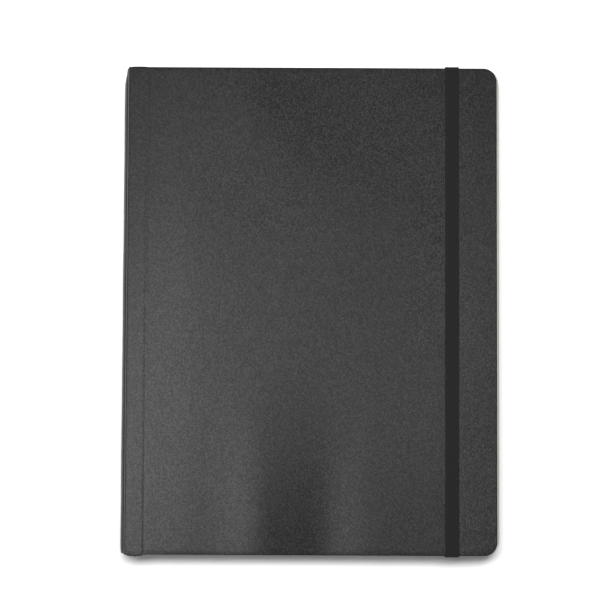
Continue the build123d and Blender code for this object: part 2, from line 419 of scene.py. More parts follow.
@dataclass(frozen=True)
class Paper(Finish):
    """Uncoated paper: a little tooth, cloudy look-through and single fibres."""

    tooth: float = 0.35 * MM
    tooth_depth: float = 0.012 * MM
    shade: Rgb = (0.5, 0.485, 0.43)
    # Colour and strength of painted shade on the trimmed edges of the pages, from trimmed_x and
    # trimmed_y outwards.
    edges: Rgb = (0.1, 0.1, 0.098)
    painted_edge_shade: float = 0.0
    trimmed_x: float = 94.9 * MM
    trimmed_y: float = 124.0 * MM

    def surface(self, tree: Tree, place: Value) -> Value:
        """Soft cloudy colour with a fine tooth and fibres that run lengthwise, and painted shade on
        the trimmed edges where it is set.

        Args:
            tree: the material's nodes.
            place: the position on the object, in metres.

        Returns:
            The shader's output.
        """
        stretched = tree.node("ShaderNodeMapping", {}, {"Vector": place, "Scale": (1.0, 0.22, 1.0)})
        fibres = tree.noise(stretched, 0.8 / self.tooth, 2.0, 0.7)
        tooth = tree.noise(place, 1.0 / self.tooth, 3.0, 0.6)
        clouds = tree.noise(place, 90.0, 3.0)
        tint = clouds.clamped(0.35, 0.7) * 0.5 + fibres.clamped(0.45, 0.8) * 0.5
        colour = tree.mix(self.colour, self.shade, tint)
        # Painted shade: the trimmed fore edge and the head and tail edges are darkened towards the
        # edges colour.
        if self.painted_edge_shade:
            x, y, _ = tree.split(place)
            fore = x.clamped(self.trimmed_x, self.trimmed_x + 1.0 * MM)
            ends = abs(y).clamped(self.trimmed_y, self.trimmed_y + 0.6 * MM)
            painted_edge_shade_mask = tree.math("MAXIMUM", fore, ends) * self.painted_edge_shade
            colour = tree.mix(colour, self.edges, painted_edge_shade_mask)
        roughness, height = self.roughness + (tooth - 0.5) * 0.1, tooth * 0.7 + fibres * 0.3
        return self.principled(tree, colour, roughness, height, self.tooth_depth)


@dataclass(frozen=True)
class Card(Paper):
    """Grey-brown pulp card with specks."""

    specks: float = 1.6 * MM

    def surface(self, tree: Tree, place: Value) -> Value:
        """Pulp with darker specks.

        Args:
            tree: the material's nodes.
            place: the position on the object, in metres.

        Returns:
            The shader's output.
        """
        pulp = tree.noise(place, 1.0 / self.tooth, 4.0, 0.7)
        cells = {"Vector": place, "Scale": 1.0 / self.specks}
        specks = tree.node("ShaderNodeTexVoronoi", {}, cells)
        dark = 1.0 - specks.clamped(0.06, 0.16)
        colour = tree.mix(self.colour, self.shade, pulp.clamped(0.35, 0.65) * 0.6 + dark * 0.4)
        return self.principled(tree, colour, self.roughness, pulp, self.tooth_depth)


@dataclass(frozen=True)
class Cloth(Finish):
    """Plain weave: open mull, or the tight covered rubber of the elastic."""

    pitch: float = 0.6 * MM
    depth: float = 0.08 * MM
    gap: Rgb = (0.3, 0.28, 0.24)
    fuzz: float = 0.25

    def surface(self, tree: Tree, place: Value) -> Value:
        """Threads over and under, with darker gaps and fuzz.

        Args:
            tree: the material's nodes.
            place: the position on the object, in metres.

        Returns:
            The shader's output.
        """
        fuzz = tree.noise(place, 3.0 / self.pitch, 2.0)
        x, y, z = tree.split(place)
        step = math.pi / self.pitch
        across = abs((y * step).sine())
        along = abs(((x + z) * step).sine())
        weave = (across * along) ** 0.6 * 0.8 + fuzz * 0.2
        colour = tree.mix(self.gap, self.colour, weave.clamped(0.1, 0.8))
        return self.principled(
            tree, colour, self.roughness, weave, self.depth,
            Sheen_Weight=self.fuzz, Specular_IOR_Level=0.3,
        )


@dataclass(frozen=True)
class Thread(Finish):
    """Waxed sewing thread, two plies twisted together."""

    twist: float = 0.7 * MM

    def surface(self, tree: Tree, place: Value) -> Value:
        """Slanted plies along the thread.

        Args:
            tree: the material's nodes.
            place: the position on the object, in metres.

        Returns:
            The shader's output.
        """
        x, y, z = tree.split(place)
        plies = abs(((y + z * 2.0 + x) * (math.pi / self.twist)).sine())
        colour = tree.mix(tuple(c * 0.6 for c in self.colour), self.colour, plies)
        return self.principled(tree, colour, self.roughness, plies, 0.05 * MM)


@dataclass(frozen=True)
class Sweep(Finish):
    """Matt white paper sweep under the book."""

    def surface(self, tree: Tree, place: Value) -> Value:
        """Even white with a very faint unevenness.

        Args:
            tree: the material's nodes.
            place: the position on the object, in metres.

        Returns:
            The shader's output.
        """
        clouds = tree.noise(place, 3.0, 2.0)
        colour = tree.mix(self.colour, tuple(c * 0.985 for c in self.colour), clouds)
        return self.principled(tree, colour, self.roughness, clouds, 0.01 * MM)


class Finishes(Enum):
    """The finishes of the book and its set."""

    LEATHERETTE = Leatherette("grained_leatherette", (0.0008, 0.0008, 0.0009), 0.35, "leatherette")
    # The pages and the endpapers get painted shade on their trimmed edges.
    PAGES = Paper("drawing_paper", (0.57, 0.555, 0.51), 0.82, "page_paper", painted_edge_shade=0.7)
    ENDPAPER = Paper(
        "ivory_endpaper", (0.56, 0.545, 0.495), 0.78, "endpaper", tooth=0.5 * MM, painted_edge_shade=0.7,
    )
    CARD = Card("pulp_card", (0.45, 0.41, 0.34), 0.88, "card", shade=(0.3, 0.26, 0.2))
    LINING = Cloth("open_mull", (0.78, 0.75, 0.66), 0.9, "lining_cloth", pitch=1.1 * MM)
    THREAD = Thread("waxed_thread", (0.84, 0.81, 0.72), 0.6, "thread")
    WEBBING = Cloth(
        "ribbed_webbing", (0.011, 0.011, 0.012), 0.7, "elastic_webbing",
        pitch=0.55 * MM, depth=0.03 * MM, gap=(0.003, 0.003, 0.0034), fuzz=0.0,
    )
    SWEEP = Sweep("white_sweep", (0.93, 0.93, 0.93), 0.9, "")


# ---------------------------------------------------------------- meshes
def smoothstep(value: np.ndarray, low: float, high: float) -> np.ndarray:
    """Smooth rise from 0 at low to 1 at high."""
    t = np.clip((np.asarray(value, float) - low) / (high - low), 0.0, 1.0)
    return t * t * (3.0 - 2.0 * t)


def bell(value: np.ndarray, centre: float, width: float) -> np.ndarray:
    """Bell curve of height 1 about centre."""
    return np.exp(-(((np.asarray(value, float) - centre) / width) ** 2))


def stations(start: float, *legs: tuple[float, int]) -> np.ndarray:
    """Places in legs of equal steps.

    Args:
        start: the first place.
        legs: the last place of each leg in turn, and its number of steps.

    Returns:
        All the places, in order.
    """
    made = [np.array([start])]
    for end, steps in legs:
        made.append(np.linspace(made[-1][-1], end, steps + 1)[1:])
    return np.concatenate(made)


def quads_of(grid: np.ndarray) -> list:
    """Faces between the neighbours of a grid of vertex numbers."""
    corners = np.stack([grid[:-1, :-1], grid[1:, :-1], grid[1:, 1:], grid[:-1, 1:]], axis=-1)
    return corners.reshape(-1, 4).tolist()


def link_new(name: str, data: bpy.types.ID) -> bpy.types.Object:
    """A new object with the given data, linked to the scene.

    Args:
        name: the object's name.
        data: its mesh, light or camera.

    Returns:
        The new object.
    """
    obj = bpy.data.objects.new(name, data)
    bpy.context.scene.collection.objects.link(obj)
    return obj


def make_object(name: str, points: np.ndarray, faces: list, finish: Finishes) -> bpy.types.Object:
    """A smooth-shaded object whose place is in its mesh.

    Args:
        name: the piece's name.
        points: vertex places, in metres.
        faces: vertex numbers of each face.
        finish: what it is made of.

    Returns:
        The linked object.
    """
    mesh = bpy.data.meshes.new(name)
    mesh.from_pydata([tuple(p) for p in points], [], [tuple(int(i) for i in f) for f in faces])
    mesh.validate()
    tidy = bmesh.new()
    tidy.from_mesh(mesh)
    bmesh.ops.remove_doubles(tidy, verts=tidy.verts, dist=0.002 * MM)
    bmesh.ops.dissolve_degenerate(tidy, edges=tidy.edges, dist=0.001 * MM)
    bmesh.ops.recalc_face_normals(tidy, faces=tidy.faces)
    tidy.to_mesh(mesh)
    tidy.free()
    return dress(link_new(name, mesh), finish)


def unroll(obj: bpy.types.Object, middle_z: float) -> bpy.types.Object:
    """Store the flat place of each point on the case's skin, for the grain to follow.

    Args:
        obj: a piece of the case's skin.
        middle_z: half the book's thickness.

    Returns:
        The same object.
    """
    mesh = obj.data
    points = np.empty(len(mesh.vertices) * 3)
    mesh.vertices.foreach_get("co", points)
    points = points.reshape(-1, 3)
    up = np.abs(points[:, 2] - middle_z)
    flat = np.stack([points[:, 0] + up, points[:, 1] + SLIDE_ALONG * up], axis=1)
    loops = np.empty(len(mesh.loops), dtype=np.int64)
    mesh.loops.foreach_get("vertex_index", loops)
    mesh.uv_layers.new(name=UNROLLED).data.foreach_set("uv", flat[loops].ravel())
    return obj


def dress(obj: bpy.types.Object, finish: Finishes) -> bpy.types.Object:
    """Give an object its material and smooth shading, with sharp corners kept.

    Args:
        obj: a mesh object.
        finish: what it is made of.

    Returns:
        The same object.
    """
    obj.data.materials.clear()
    obj.data.materials.append(finish.value.material())
    if "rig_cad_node" not in obj:
        obj.data.polygons.foreach_set("use_smooth", [True] * len(obj.data.polygons))
        obj.data.set_sharp_from_angle(angle=math.radians(38.0))
    return obj


def bake_modifiers(obj: bpy.types.Object) -> bpy.types.Object:
    """Turn an object and its modifiers into a plain mesh.

    Args:
        obj: an object whose modifiers are ready.

    Returns:
        The same object, with the evaluated mesh and no modifiers.
    """
    bpy.context.view_layer.update()
    evaluated = obj.evaluated_get(bpy.context.evaluated_depsgraph_get())
    mesh = bpy.data.meshes.new_from_object(evaluated)
    mesh.name = obj.name
    obj.modifiers.clear()
    obj.data = mesh
    return obj


def thicken(obj: bpy.types.Object, thickness: float, finish: Finishes) -> bpy.types.Object:
    """Give the sheets of an object their wall, as a plain mesh.

    Args:
        obj: sheets without thickness, perhaps with modifiers.
        thickness: of the wall, half on each side.
        finish: what they are made of.

    Returns:
        The same object.
    """
    wall = obj.modifiers.new("leaf", "SOLIDIFY")
    wall.thickness = thickness
    wall.offset = 0.0
    return dress(bake_modifiers(obj), finish)


# ---------------------------------------------------------------- sizes from the frame
@dataclass(frozen=True)
class Book:
    """Places in the frame that every sub-assembly shares, in metres."""

    spine_x: float
    fore_x: float
    back_fore_x: float
    half_height: float
    page_half_height: float
    thickness: float
    crease_x: float
    bulge_x: float
    corner: float = 7.0 * MM
    cover: float = 1.2 * MM
    skin: float = 0.4 * MM
    turn_in: float = 8.0 * MM

    @classmethod
    def from_frame(cls) -> "Book":
        """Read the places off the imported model.

        Returns:
            The shared places.
        """
        back_low, back_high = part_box("back_cover_skin")
        front_low, front_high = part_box("front_cover_skin")
        hinge_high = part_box("front_hinge_skin")[1]
        return cls(
            spine_x=back_low[0],
            fore_x=front_high[0],
            back_fore_x=back_high[0],
            half_height=back_high[1],
            page_half_height=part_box("signature_1")[1][1],
            thickness=front_high[2],
            crease_x=(front_low[0] + hinge_high[0]) / 2,
            bulge_x=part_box("spine_skin")[0][0],
        )

    @property
    def middle_z(self) -> float:
        """Half the book's thickness."""
        return self.thickness / 2


# ---------------------------------------------------------------- leatherette shells
Relief = Callable[[np.ndarray, np.ndarray], np.ndarray]


@dataclass
class CrossSection:
    """A line across the book that a shell's outer face follows.

    Points run so that the outside is on the left hand. Places on the shell are given as
    the length along the line, the place along the book and the depth under the face.
    """

    line: np.ndarray
    depth: np.ndarray
    relief: Relief
    mirror_z: Optional[float] = None

    def __post_init__(self) -> None:
        """Measure the line and find its outward normals."""
        step = np.diff(self.line, axis=0)
        self.length = np.concatenate([[0.0], np.cumsum(np.hypot(*step.T))])
        tangent = np.gradient(self.line, self.length, axis=0)
        tangent /= np.linalg.norm(tangent, axis=1)[:, None]
        self.normal = np.stack([-tangent[:, 1], tangent[:, 0]], axis=1)

    def place(
        self, s: np.ndarray, y: np.ndarray, share: np.ndarray, extra: np.ndarray
    ) -> np.ndarray:
        """Points in the frame.

        Args:
            s: length along the line.
            y: place along the book.
            share: depth under the outer face, as a share of the shell's whole depth.
            extra: further depth in metres.

        Returns:
            One row of x, y, z for each point.
        """
        whole = np.interp(s, self.length, self.depth)
        down = share * whole + extra
        base, out = (
            np.stack([np.interp(s, self.length, track[:, k]) for k in (0, 1)], axis=-1)
            for track in (self.line, self.normal)
        )
        lift = self.relief(base[..., 0], y) * np.clip(1.0 - down / whole, 0.0, 1.0) - down
        point = base + out * lift[..., None]
        z = point[..., 1] if self.mirror_z is None else self.mirror_z - point[..., 1]
        return np.stack([point[..., 0], y, z], axis=-1)


@dataclass
class Shell:
    """Leatherette turned over the edges of a card, as one closed solid.

    It has an outer face, an inner face one skin deeper, and round the open edges a rim
    that goes over the card and in along its other side. At a fore edge the two corners
    are round.
    """

    book: Book
    section: CrossSection
    rows: np.ndarray
    fore_edge: bool
    edge_line: Callable[[np.ndarray, float], np.ndarray]
    columns: int = 72
    rounding: float = 0.5 * MM
    lower_rounding: float = 0.22 * MM
    turned_in: float = 0.2 * MM
    points: list = field(default_factory=list)
    faces: list = field(default_factory=list)

    def build(self, name: str) -> bpy.types.Object:
        """Make the shell.

        Args:
            name: the piece's name.

        Returns:
            The new object.
        """
        outer = self._panel(self.rounding, 0.0)
        inner = self._panel(self.book.skin, self.book.skin)
        self.faces += quads_of(outer) + quads_of(inner[::-1])
        self._rims(outer, inner)
        self._close_end(outer, inner, 0)
        if not self.fore_edge:
            self._close_end(outer, inner, -1)
        obj = make_object(name, np.concatenate(self.points), self.faces, Finishes.LEATHERETTE)
        return unroll(obj, self.book.middle_z)

    def _add(self, points: np.ndarray) -> np.ndarray:
        """Store points and return their numbers in the same layout.

        Args:
            points: places in any layout, with x, y, z last.

        Returns:
            The numbers.
        """
        start = sum(len(p) for p in self.points)
        self.points.append(points.reshape(-1, 3))
        return start + np.arange(points[..., 0].size).reshape(points.shape[:-1])

    def _rows_for(self, inset: float) -> tuple[np.ndarray, np.ndarray]:
        """Row places and how far each row is drawn in at the round corners.

        Args:
            inset: how far the face is drawn in from the outline.

        Returns:
            The places and how far in.
        """
        if not self.fore_edge:
            return self.rows, np.zeros_like(self.rows)
        end = self.section.length[-1]
        centre = end - self.book.corner
        radius = self.book.corner - inset
        angle = np.linspace(0.0, math.pi / 2, 15)
        straight = self.rows[self.rows < centre - 0.5 * MM]
        rows = np.concatenate([straight, centre + radius * np.sin(angle)])
        drawn = np.concatenate([np.zeros_like(straight), radius * (1.0 - np.cos(angle))])
        return rows, drawn

    def _panel(self, inset: float, depth: float) -> np.ndarray:
        """Point numbers of one face, drawn in from the outline by inset.

        Args:
            inset: how far it is drawn in.
            depth: how deep it lies.

        Returns:
            The grid of point numbers.
        """
        rows, drawn = self._rows_for(inset)
        x = np.interp(rows, self.section.length, self.section.line[:, 0])
        ends = [self.edge_line(x, side) - side * (inset + drawn) for side in (-1.0, 1.0)]
        even = np.linspace(-1.0, 1.0, self.columns)
        share = 0.5 + 0.5 * np.sin(even * math.pi / 2) * 0.35 + 0.5 * even * 0.65
        y = ends[0][:, None] * (1.0 - share) + ends[1][:, None] * share
        s = np.repeat(rows[:, None], self.columns, axis=1)
        return self._add(self.section.place(s, y, np.zeros_like(s), np.full_like(s, depth)))

    def _rim_profile(self) -> list[tuple[float, float, float]]:
        """Outward place, share of the depth and extra depth of the rim's points in turn.

        Returns:
            The points, in order.
        """
        profile = []
        for angle in np.linspace(0.0, math.pi / 2, 6)[1:]:
            out = -self.rounding * (1.0 - math.sin(angle))
            profile.append((out, 0.0, self.rounding * (1.0 - math.cos(angle))))
        for angle in np.linspace(0.0, math.pi / 2, 4):
            out = -self.lower_rounding * (1.0 - math.cos(angle))
            profile.append((out, 1.0, -self.lower_rounding * (1.0 - math.sin(angle))))
        return profile + [
            (-0.35 * self.book.turn_in, 1.0, 0.0),
            (-self.book.turn_in, 1.0, 0.0),
            (-self.book.turn_in, 1.0, -self.turned_in),
            (-self.book.skin, 1.0, -self.turned_in),
        ]

    def _boundary(self, grid: np.ndarray, inset: float) -> list[dict]:
        """The open edges of a face, as runs of places with outward directions.

        Args:
            grid: the face's point numbers.
            inset: how far it is drawn in.

        Returns:
            The runs.
        """
        rows, _ = self._rows_for(inset)
        tail, head = grid[:, 0], grid[:, -1]
        turn = np.zeros_like(rows)
        if self.fore_edge:
            centre = self.section.length[-1] - self.book.corner
            turn = np.clip((rows - centre) / (self.book.corner - inset), 0.0, 1.0)
        side = np.stack([turn, np.sqrt(1.0 - turn**2)], 1)
        runs = [(head, rows, side), (tail[::-1], rows[::-1], (side * (1.0, -1.0))[::-1])]
        if self.fore_edge:
            fore = grid[-1, ::-1][1:-1]
            outward = np.tile((1.0, 0.0), (len(fore), 1))
            runs.insert(1, (fore, np.full(len(fore), rows[-1]), outward))
            runs = [[np.concatenate(parts) for parts in zip(*runs)]]
        return [dict(zip(("ids", "s", "out"), run)) for run in runs]

    def _rims(self, outer: np.ndarray, inner: np.ndarray) -> None:
        """The rims, from the outer face's edge round to the inner face's edge.

        Args:
            outer: the outer face's point numbers.
            inner: the inner face's.
        """
        points = np.concatenate(self.points)
        limit = self.section.length[-1] - self.book.turn_in
        runs = zip(self._boundary(outer, self.rounding), self._boundary(inner, self.book.skin))
        for outside, inside in runs:
            y = points[outside["ids"], 1]
            rings = [outside["ids"]]
            for out, share, extra in self._rim_profile():
                reach = out + self.rounding
                s = outside["s"] + reach * outside["out"][:, 0]
                there = y + reach * outside["out"][:, 1]
                if out <= -self.book.turn_in:
                    s = np.minimum(s, limit) if self.fore_edge else s
                    window = self.book.half_height - self.book.turn_in
                    there = np.clip(there, -window, window)
                    s, there = self._to_window(outside, s, there, limit, window)
                elif out < -self.rounding and self.fore_edge:
                    s = np.maximum(s, np.minimum(outside["s"], limit))
                below = np.full_like(s, share), np.full_like(s, extra)
                rings.append(self._add(self.section.place(s, there, *below)))
            rings.append(inside["ids"])
            self.faces += quads_of(np.stack(rings))
            for end in (0, -1):
                self.faces.append([ring[end] for ring in rings])

    def _to_window(
        self, edge: dict, s: np.ndarray, y: np.ndarray, limit: float, window: float
    ) -> tuple[np.ndarray, np.ndarray]:
        """Hold the turn-in's inner edge to a square-cornered window.

        Args:
            edge: the boundary run.
            s: length along the line of each point.
            y: place along the book of each point.
            limit: furthest length of the window.
            window: half height of the window.

        Returns:
            The corrected s and y.
        """
        if not self.fore_edge:
            return s, np.sign(edge["out"][:, 1]) * window
        on_side = np.abs(edge["out"][:, 1]) > 0.7072
        s = np.where(on_side, np.minimum(s, limit), limit)
        y = np.where(on_side, np.sign(edge["out"][:, 1]) * window, y)
        return s, y

    def _close_end(self, outer: np.ndarray, inner: np.ndarray, row: int) -> None:
        """Join the outer and inner faces along one end row."""
        pair = np.stack([outer[row], inner[row]])
        self.faces += quads_of(pair if row else pair[::-1])


@dataclass
class CaseLeather:
    """The one leatherette skin of the case, which bends at two spine folds and a groove.

    It is made as four pieces that meet edge to edge: each half of the spine with its fold
    and part of the hinge strip, and each cover with the rest of the hinge strip.
    """

    book: Book
    elastic_x: float
    fold_radius: float = 1.2 * MM
    valley: float = 2.75 * MM
    seam: float = 5.4 * MM
    groove_depth: float = 0.17 * MM
    groove_width: float = 0.85 * MM
    fold_depth: float = 0.62 * MM
    spine_depth: float = 1.1 * MM
    card_depth: float = 0.92 * MM
    drawn_in: float = 10 * MM

    def waves(self, x: np.ndarray, y: np.ndarray) -> np.ndarray:
        """How far the soft cover stands off flat, in metres, at places on its face.

        Args:
            x: places across the book.
            y: places along the book.

        Returns:
            The heights.
        """
        u = (x - self.book.spine_x) / MM
        v = (y + self.book.half_height) / MM
        band = (self.elastic_x - self.book.spine_x) / MM
        ripple = 0.05 * np.sin(u / 19.0 + 0.6) * np.cos(v / 31.0 + 0.4)
        ripple = ripple + 0.03 * np.sin((u * 0.7 + v) / 17.0)
        settled = smoothstep(u, 11.0, 30.0) * (1.0 - 0.9 * bell(u, band, 9.0))
        buckle = 0.1 * (bell(u, *RIDGE) - bell(u, *VALLEY)) * bell(v, 0.0, TAIL_REACH)
        pressed = -0.09 * bell(u, band, 6.0)
        return (ripple * settled + buckle + pressed) * MM

    def groove(self, x: np.ndarray) -> np.ndarray:
        """Depth of the pressed hinge groove, in metres.

        Args:
            x: places across the book.

        Returns:
            The depths.
        """
        u = x - self.book.crease_x
        lip = 0.14 * bell(u, -1.7 * self.groove_width, self.groove_width)
        return self.groove_depth * (bell(u, 0.0, self.groove_width) - lip)

    def front_relief(self, x: np.ndarray, y: np.ndarray) -> np.ndarray:
        """Relief of the front cover's face."""
        return self.waves(x, y) - self.groove(x)

    def back_relief(self, x: np.ndarray, y: np.ndarray) -> np.ndarray:
        """Relief of the back cover's face, with the seats of the elastic's ends.

        Args:
            x: places across the book.
            y: places along the book.

        Returns:
            The heights.
        """
        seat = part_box("elastic_end_head")
        near = smoothstep(np.abs(x - self.elastic_x), 4.3 * MM, 3.5 * MM)
        past = smoothstep(np.abs(y), seat[0][1] - 0.9 * MM, seat[0][1])
        return -self.groove(x) - 0.64 * MM * near * past

    def spine_relief(self, x: np.ndarray, y: np.ndarray) -> np.ndarray:
        """Relief of the spine, which is drawn in at head and tail.

        Args:
            x: places across the book.
            y: places along the book.

        Returns:
            The heights.
        """
        head = smoothstep(y, self.book.half_height - 9 * MM, self.book.half_height)
        tail = smoothstep(-y, self.book.half_height - 4 * MM, self.book.half_height)
        ripple = 0.06 * np.sin(y / (9.0 * MM)) * np.sin(y / (31.0 * MM) + 1.0)
        out = smoothstep(-x, -self.book.spine_x, -self.book.bulge_x)
        return (ripple - 1.1 * head - 0.3 * tail) * out * MM

    def edge_line(self, x: np.ndarray, side: float, lump: float = 0.9 * MM) -> np.ndarray:
        """The outline at head and tail, with the lump of leatherette turned in at the folds.

        Args:
            x: places across the book.
            side: 1 at the head, -1 at the tail.
            lump: how far the lump stands out at the tail.

        Returns:
            The outline's place along the book at each x.
        """
        u = (x - self.book.spine_x) / MM
        bump = bell(u, 5.8, 3.2) + 0.35 * bell(u, 2.6, 0.8) + 0.4 * bell(u, 8.6, 0.7)
        wrinkle = 0.1 * MM * np.sin(4.4 * u) * bell(u, 5.8, 3.4)
        grown = (lump * bump + wrinkle) * (1.0 if side < 0 else 0.3)
        drawn = 0.35 * MM * smoothstep(-u, -0.5, 1.0)
        return side * (self.book.half_height + grown - drawn)

    def back_edge_line(self, x: np.ndarray, side: float) -> np.ndarray:
        """The outline of the back cover at head and tail."""
        return self.edge_line(x, side, 0.4 * MM)

    def _outline(self, fore_x: float) -> tuple[np.ndarray, np.ndarray]:
        """The outer face across the front half of the book, with its depth.

        Args:
            fore_x: where the cover ends.

        Returns:
            Points of x and z from the middle of the spine to the fore edge, and how deep
            the folded-over leatherette and card are at each.
        """
        book, radius = self.book, self.fold_radius
        top = book.thickness
        foot = top - self.valley
        turn = np.linspace(0.0, 1.0, 34)
        rise = book.middle_z + (foot - book.middle_z) * turn
        bulge = (book.spine_x - book.bulge_x) * (1.0 - turn**2.7)
        lip = np.linspace(foot, top - radius, 9)[1:-1]
        angle = np.linspace(0.0, math.pi / 2, 13)
        flat = np.linspace(book.spine_x + radius, fore_x, 90)[1:]
        fold_x, fold_z = radius * (1.0 - np.cos(angle)), radius * (1.0 - np.sin(angle))
        line = np.concatenate([
            np.stack([book.spine_x - bulge, rise], 1),
            np.stack([np.full_like(lip, book.spine_x), lip], 1),
            np.stack([book.spine_x + fold_x, top - fold_z], 1),
            np.stack([flat, np.full_like(flat, top)], 1),
        ])
        inland = smoothstep(line[:, 0], book.spine_x + 0.6 * MM, book.spine_x + 3.5 * MM)
        card = 1.0 - smoothstep(line[:, 1], foot - 1.6 * MM, foot - 0.4 * MM)
        thin = self.fold_depth
        return line, thin + (book.cover - thin) * inland + (self.spine_depth - thin) * card

    def _section(self, first: bool, relief: Relief, mirror: bool, fore_x: float) -> CrossSection:
        """The part of the outline on one side of the seam in the hinge strip.

        Args:
            first: True for the spine's side.
            relief: how far the face stands off the line.
            mirror: True for the back of the book.
            fore_x: where the cover ends.

        Returns:
            The cross-section.
        """
        line, depth = self._outline(fore_x)
        seam_x = self.book.spine_x + self.seam
        below = line[:, 1] < self.book.thickness - TINY
        near = int(np.argmin(np.where(below, np.inf, np.abs(line[:, 0] - seam_x))))
        line[near, 0] = seam_x
        part = slice(0, near + 1) if first else slice(near, None)
        mirror_z = self.book.thickness if mirror else None
        return CrossSection(line[part], depth[part], relief, mirror_z)

    def _cover_rows(self, section: CrossSection) -> np.ndarray:
        """Places of a cover's rows, close together at the groove.

        Args:
            section: the cover's cross-section.

        Returns:
            Lengths along it.
        """
        crease = self.book.crease_x - self.book.spine_x - self.seam
        reach = 3 * self.groove_width
        end = section.length[-1] - self.book.corner
        return stations(0.0, (crease - reach, 4), (crease + reach, 20), (end, 61))

    def _spine_rows(self, section: CrossSection) -> np.ndarray:
        """Places of a spine half's rows, close together at its fold.

        Args:
            section: the spine half's cross-section.

        Returns:
            Lengths along it.
        """
        fold = float(np.interp(
            self.book.thickness - self.valley, section.line[:34, 1], section.length[:34]
        ))
        lip = fold + self.valley + self.fold_radius * (math.pi / 2 - 1.0)
        legs = (fold - 1.2 * MM, 11), (fold + 1.0 * MM, 22), (lip, 15), (section.length[-1], 4)
        return stations(0.0, *legs)

    def build(self) -> list[bpy.types.Object]:
        """Make the four pieces of the skin and the spine's card; only the back cover and the card
        are joined to bodies.

        Returns:
            The new objects.
        """
        made = [self._front(), self._back(), self._spine_card()]
        made.append(self._spine("spine_leather_front", False))
        made.append(self._spine("spine_leather_back", True))
        return made

    def _front(self) -> bpy.types.Object:
        """Front cover and the near part of its hinge strip, with the pressed groove.

        Returns:
            The new object.
        """
        section = self._section(False, self.front_relief, False, self.book.fore_x)
        shell = Shell(self.book, section, self._cover_rows(section), True, self.edge_line)
        obj = shell.build("front_cover_leather")
        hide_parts("front_cover_skin", "front_hinge_skin")
        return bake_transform(obj)

    def _back(self) -> bpy.types.Object:
        """Back cover, which the book lies on.

        Returns:
            The new object.
        """
        section = self._section(False, self.back_relief, True, self.book.back_fore_x)
        shell = Shell(self.book, section, self._cover_rows(section), True, self.back_edge_line)
        obj = shell.build("back_cover_leather")
        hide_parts("back_cover_skin")
        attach(obj, "back_half")
        return obj

    def _spine(self, name: str, mirror: bool) -> bpy.types.Object:
        """One half of the spine with its fold and the start of the hinge strip.

        Args:
            name: the piece's name.
            mirror: True for the half beside the back cover.

        Returns:
            The new object.
        """
        section = self._section(True, self.spine_relief, mirror, self.book.fore_x)
        edge = self.back_edge_line if mirror else self.edge_line
        obj = Shell(self.book, section, self._spine_rows(section), False, edge).build(name)
        if mirror:
            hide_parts("spine_skin")
        sign = -1.0 if mirror else 1.0
        fold = self.book.middle_z - self.valley
        start = (self.book.spine_x, 0.0, self.book.middle_z + sign * (fold - 0.55 * MM))
        end = (self.book.spine_x, 0.0, self.book.middle_z + sign * (fold + 0.5 * MM))
        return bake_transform(obj)

    def _spine_card(self) -> bpy.types.Object:
        """The card that keeps the spine's curve, under its leatherette.

        Returns:
            The new object.
        """
        low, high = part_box("spine_card")
        line, _ = self._outline(self.book.fore_x)
        upper = line[line[:, 1] <= high[2]]
        lower = np.stack([upper[:0:-1, 0], self.book.thickness - upper[:0:-1, 1]], 1)
        whole = np.concatenate([lower, upper])
        section = CrossSection(whole, np.full(len(whole), self.spine_depth), self.spine_relief)
        tail, head = low[1] + self.drawn_in, high[1] - self.drawn_in
        y = stations(low[1], (tail, 8), (head, 11), (high[1], 8))
        s, along = np.meshgrid(section.length, y, indexing="ij")
        points = [
            section.place(s, along, 0 * s, 0 * s + depth).reshape(-1, 3)
            for depth in (self.book.skin + 0.01 * MM, self.card_depth)
        ]
        outer = np.arange(s.size).reshape(s.shape)
        faces = quads_of(outer) + quads_of(outer[::-1] + s.size)
        for edge in (outer[0], outer[:, -1], outer[-1, ::-1], outer[::-1, 0]):
            faces += quads_of(np.stack([edge, edge + s.size]))
        obj = make_object("spine_card_curved", np.concatenate(points), faces, Finishes.CARD)
        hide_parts("spine_card")
        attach(obj, "spine")
        return obj


# ---------------------------------------------------------------- paper
class GeometryTree(Tree):
    """A geometry node tree with named inputs for its sizes."""

    def __init__(self, name: str, sizes: dict[str, float]) -> None:
        """Make the tree.

        Args:
            name: the tree's name.
            sizes: named number inputs and their first values.
        """
        group = bpy.data.node_groups.new(name, "GeometryNodeTree")
        super().__init__(group)
        group.interface.new_socket("Geometry", in_out="OUTPUT", socket_type="NodeSocketGeometry")
        group.interface.new_socket("Geometry", in_out="INPUT", socket_type="NodeSocketGeometry")
        for size, value in sizes.items():
            kind = "NodeSocketInt" if isinstance(value, int) else "NodeSocketFloat"
            socket = group.interface.new_socket(size, in_out="INPUT", socket_type=kind)
            socket.default_value = value
        group.interface.new_socket("Material", in_out="INPUT", socket_type="NodeSocketMaterial")
        self.given = group.nodes.new("NodeGroupInput")

    def given_value(self, name: str) -> Value:
        """One of the tree's inputs."""
        return Value(self, self.given.outputs[name])

    def finish(self, geometry: Value) -> None:
        """Realize the instances, set the material and end the tree.

        Args:
            geometry: what the tree has made.
        """
        real = self.node("GeometryNodeRealizeInstances", {}, {0: geometry})
        sockets = {"Geometry": real, "Material": self.given_value("Material")}
        self.node("NodeGroupOutput", {}, {0: self.node("GeometryNodeSetMaterial", {}, sockets)})

    def put_on(self, obj: bpy.types.Object, values: dict[str, float], finish: Finishes) -> None:
        """Add the tree to an object as a modifier.

        Args:
            obj: the object.
            values: input names and their values.
            finish: what the result is made of.
        """
        modifier = obj.modifiers.new(self.tree.name, "NODES")
        modifier.node_group = self.tree
        for item in self.tree.interface.items_tree:
            if item.in_out == "INPUT" and item.name in values:
                modifier[item.identifier] = values[item.name]
            elif item.in_out == "INPUT" and item.name == "Material":
                modifier[item.identifier] = finish.value.material()


